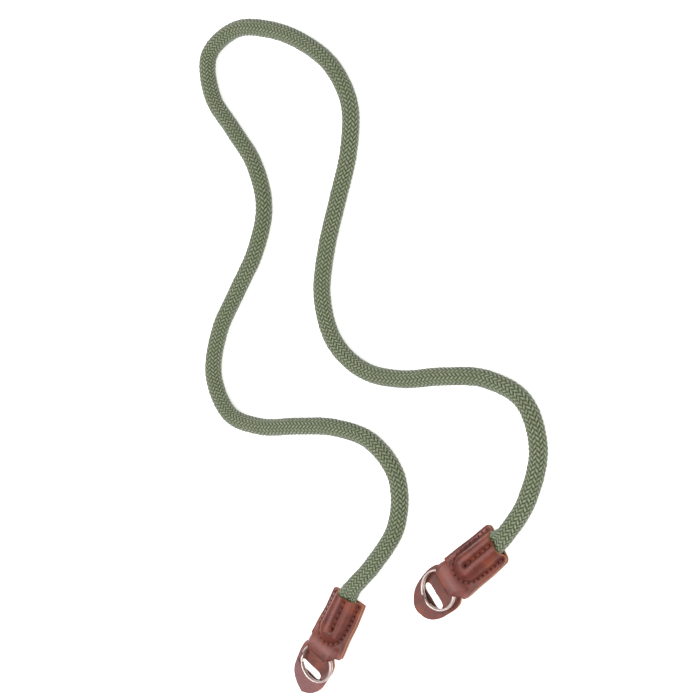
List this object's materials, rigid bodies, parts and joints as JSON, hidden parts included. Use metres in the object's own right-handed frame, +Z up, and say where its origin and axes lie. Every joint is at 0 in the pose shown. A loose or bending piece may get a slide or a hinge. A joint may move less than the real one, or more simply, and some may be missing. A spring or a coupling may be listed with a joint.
{
  "type": "camera neck strap",
  "caption": "Braided rope neck strap for a camera, with sewn leather ends, split rings and slotted leather guard flaps, lying loose.",
  "frame": {"origin": "on the surface that the strap lies on, at the middle of the box round its two leather ends and rings", "axes": "+Z up from the surface, +Y from the leather ends towards the far loop of the rope, +X from end a towards end b"},
  "size_m": [0.2454, 0.4045, 0.0111],
  "materials": {
    "rope": "tight grey-green braid, matt",
    "leather": "smooth brown leather with a soft sheen, tan at its cut edges",
    "nickel": "bright nickel-plated steel"
  },
  "bodies": {
    "strap": {"rope": "rope", "sleeve_a": "leather", "sleeve_b": "leather", "guard_flap_a": "leather", "guard_flap_b": "leather"},
    "ring_a": {"split_ring_a": "nickel"},
    "ring_b": {"split_ring_b": "nickel"}
  },
  "joints": [
    {"name": "ring_a_turn", "type": "hinge", "parent": "strap", "child": "ring_a", "pos_m": [-0.05466, -0.03597, 0.0043], "axis": [-0.0454, -0.0835, 0.9955], "continuous": true},
    {"name": "ring_b_turn", "type": "hinge", "parent": "strap", "child": "ring_b", "pos_m": [0.03148, 0.01506, 0.0043], "axis": [-0.0749, -0.0585, 0.9955], "continuous": true}
  ]
}
